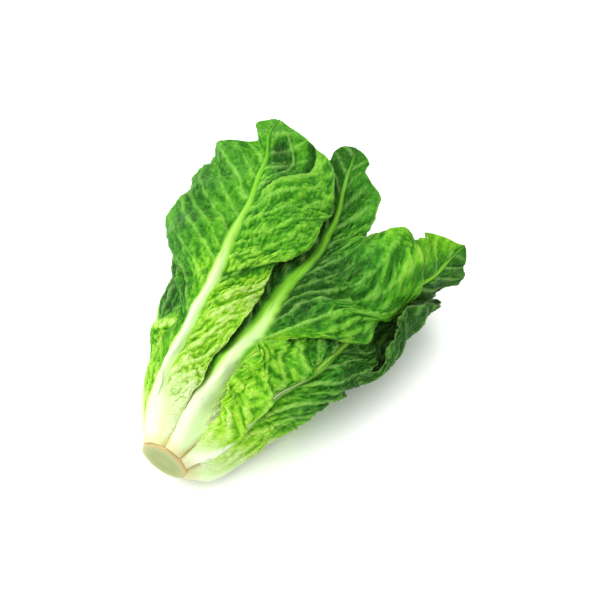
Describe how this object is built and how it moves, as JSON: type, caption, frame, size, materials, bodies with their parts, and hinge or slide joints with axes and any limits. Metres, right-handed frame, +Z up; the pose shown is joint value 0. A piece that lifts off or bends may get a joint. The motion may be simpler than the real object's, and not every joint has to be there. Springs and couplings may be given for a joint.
{
  "type": "romaine lettuce head",
  "caption": "Romaine lettuce head lying on its side: long ribbed leaves with waved margins wrapped round a short cut stem, for food and kitchen scenes.",
  "frame": {"origin": "on the table under the middle of the lying head's bounding box", "axes": "+X from the cut stem towards the leaf tips, +Z up from the table, +Y to the left seen from the stem"},
  "size_m": [0.2581, 0.2048, 0.0954],
  "materials": {
    "cut_stem": null,
    "green_leaf": null,
    "pale_leaf": null,
    "heart_leaf": null
  },
  "bodies": {
    "root": {"stem": "cut_stem", "leaf_top_left": "green_leaf", "leaf_top_middle": "green_leaf", "leaf_right": "green_leaf", "leaf_outer_right": "green_leaf", "leaf_underneath": "green_leaf", "leaf_outer_left": "green_leaf", "leaf_inner_low": "pale_leaf", "leaf_inner_left": "pale_leaf", "leaf_inner_right": "pale_leaf", "leaf_inner_back": "pale_leaf", "leaf_heart_1": "heart_leaf", "leaf_heart_2": "heart_leaf", "leaf_heart_3": "heart_leaf", "leaf_heart_4": "heart_leaf"}
  },
  "joints": []
}
